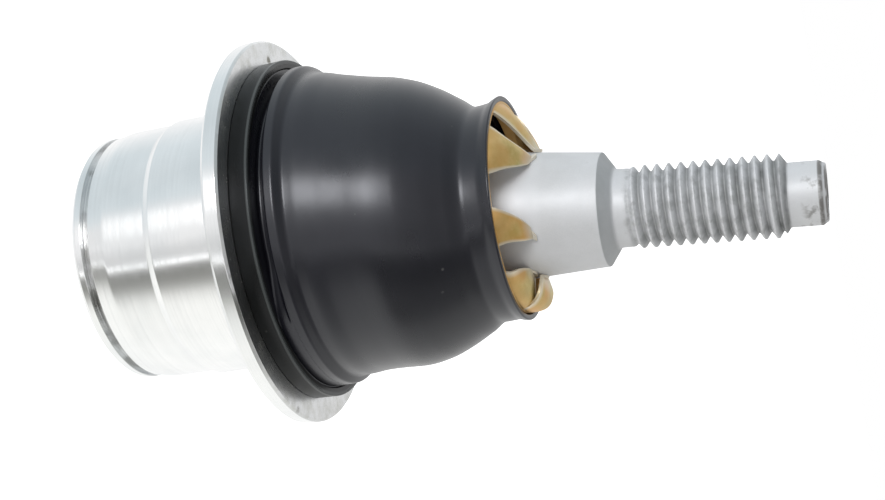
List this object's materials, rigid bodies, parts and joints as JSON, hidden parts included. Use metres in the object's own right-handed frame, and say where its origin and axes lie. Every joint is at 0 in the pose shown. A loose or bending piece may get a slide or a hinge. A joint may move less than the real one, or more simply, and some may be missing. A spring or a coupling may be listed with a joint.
{
  "type": "suspension ball joint",
  "caption": "Press-in suspension ball joint with a flanged housing, rubber dust boot, claw ring and a tapered, threaded stud.",
  "frame": {"origin": "on the housing axis, in the plane of the flange's rear seating face", "axes": "+Z along the housing axis towards the stud, +X the way the stud leans at rest"},
  "size_m": [0.0684, 0.0684, 0.1249],
  "materials": {
    "machined_steel": "turned, bright",
    "cap_steel": "pressed plate",
    "spring_steel": "oiled spring steel",
    "bearing_plastic": "moulded acetal",
    "coated_stud": "matte zinc flake coating",
    "black_ring": "satin black",
    "boot_rubber": "satin black rubber",
    "yellow_zinc": "yellow chromated zinc"
  },
  "bodies": {
    "housing_body": {"housing": "machined_steel", "closing_cap": "cap_steel", "disc_spring": "spring_steel", "lower_bearing": "bearing_plastic", "upper_bearing": "bearing_plastic", "boot_base_ring": "black_ring", "dust_boot_base": "boot_rubber"},
    "tilt_body": {"dust_boot_wall": "boot_rubber"},
    "swing_body": {"dust_boot_lip": "boot_rubber", "claw_ring": "yellow_zinc"},
    "stud_body": {"ball_stud": "coated_stud"}
  },
  "joints": [
    {"name": "stud_tilt", "type": "hinge", "parent": "housing_body", "child": "tilt_body", "pos_m": [0, 0, -0.004], "axis": [0, 1, 0], "range_deg": [-21.66, 12.34], "deforming": ["dust_boot_wall", "dust_boot_base"]},
    {"name": "stud_swing", "type": "hinge", "parent": "tilt_body", "child": "swing_body", "pos_m": [0, 0, -0.004], "axis": [0.9967, 0, -0.0812], "range_deg": [-17, 17], "deforming": ["dust_boot_lip"]},
    {"name": "stud_spin", "type": "hinge", "parent": "swing_body", "child": "stud_body", "pos_m": [0, 0, -0.004], "axis": [0.0812, 0, 0.9967], "continuous": true}
  ]
}
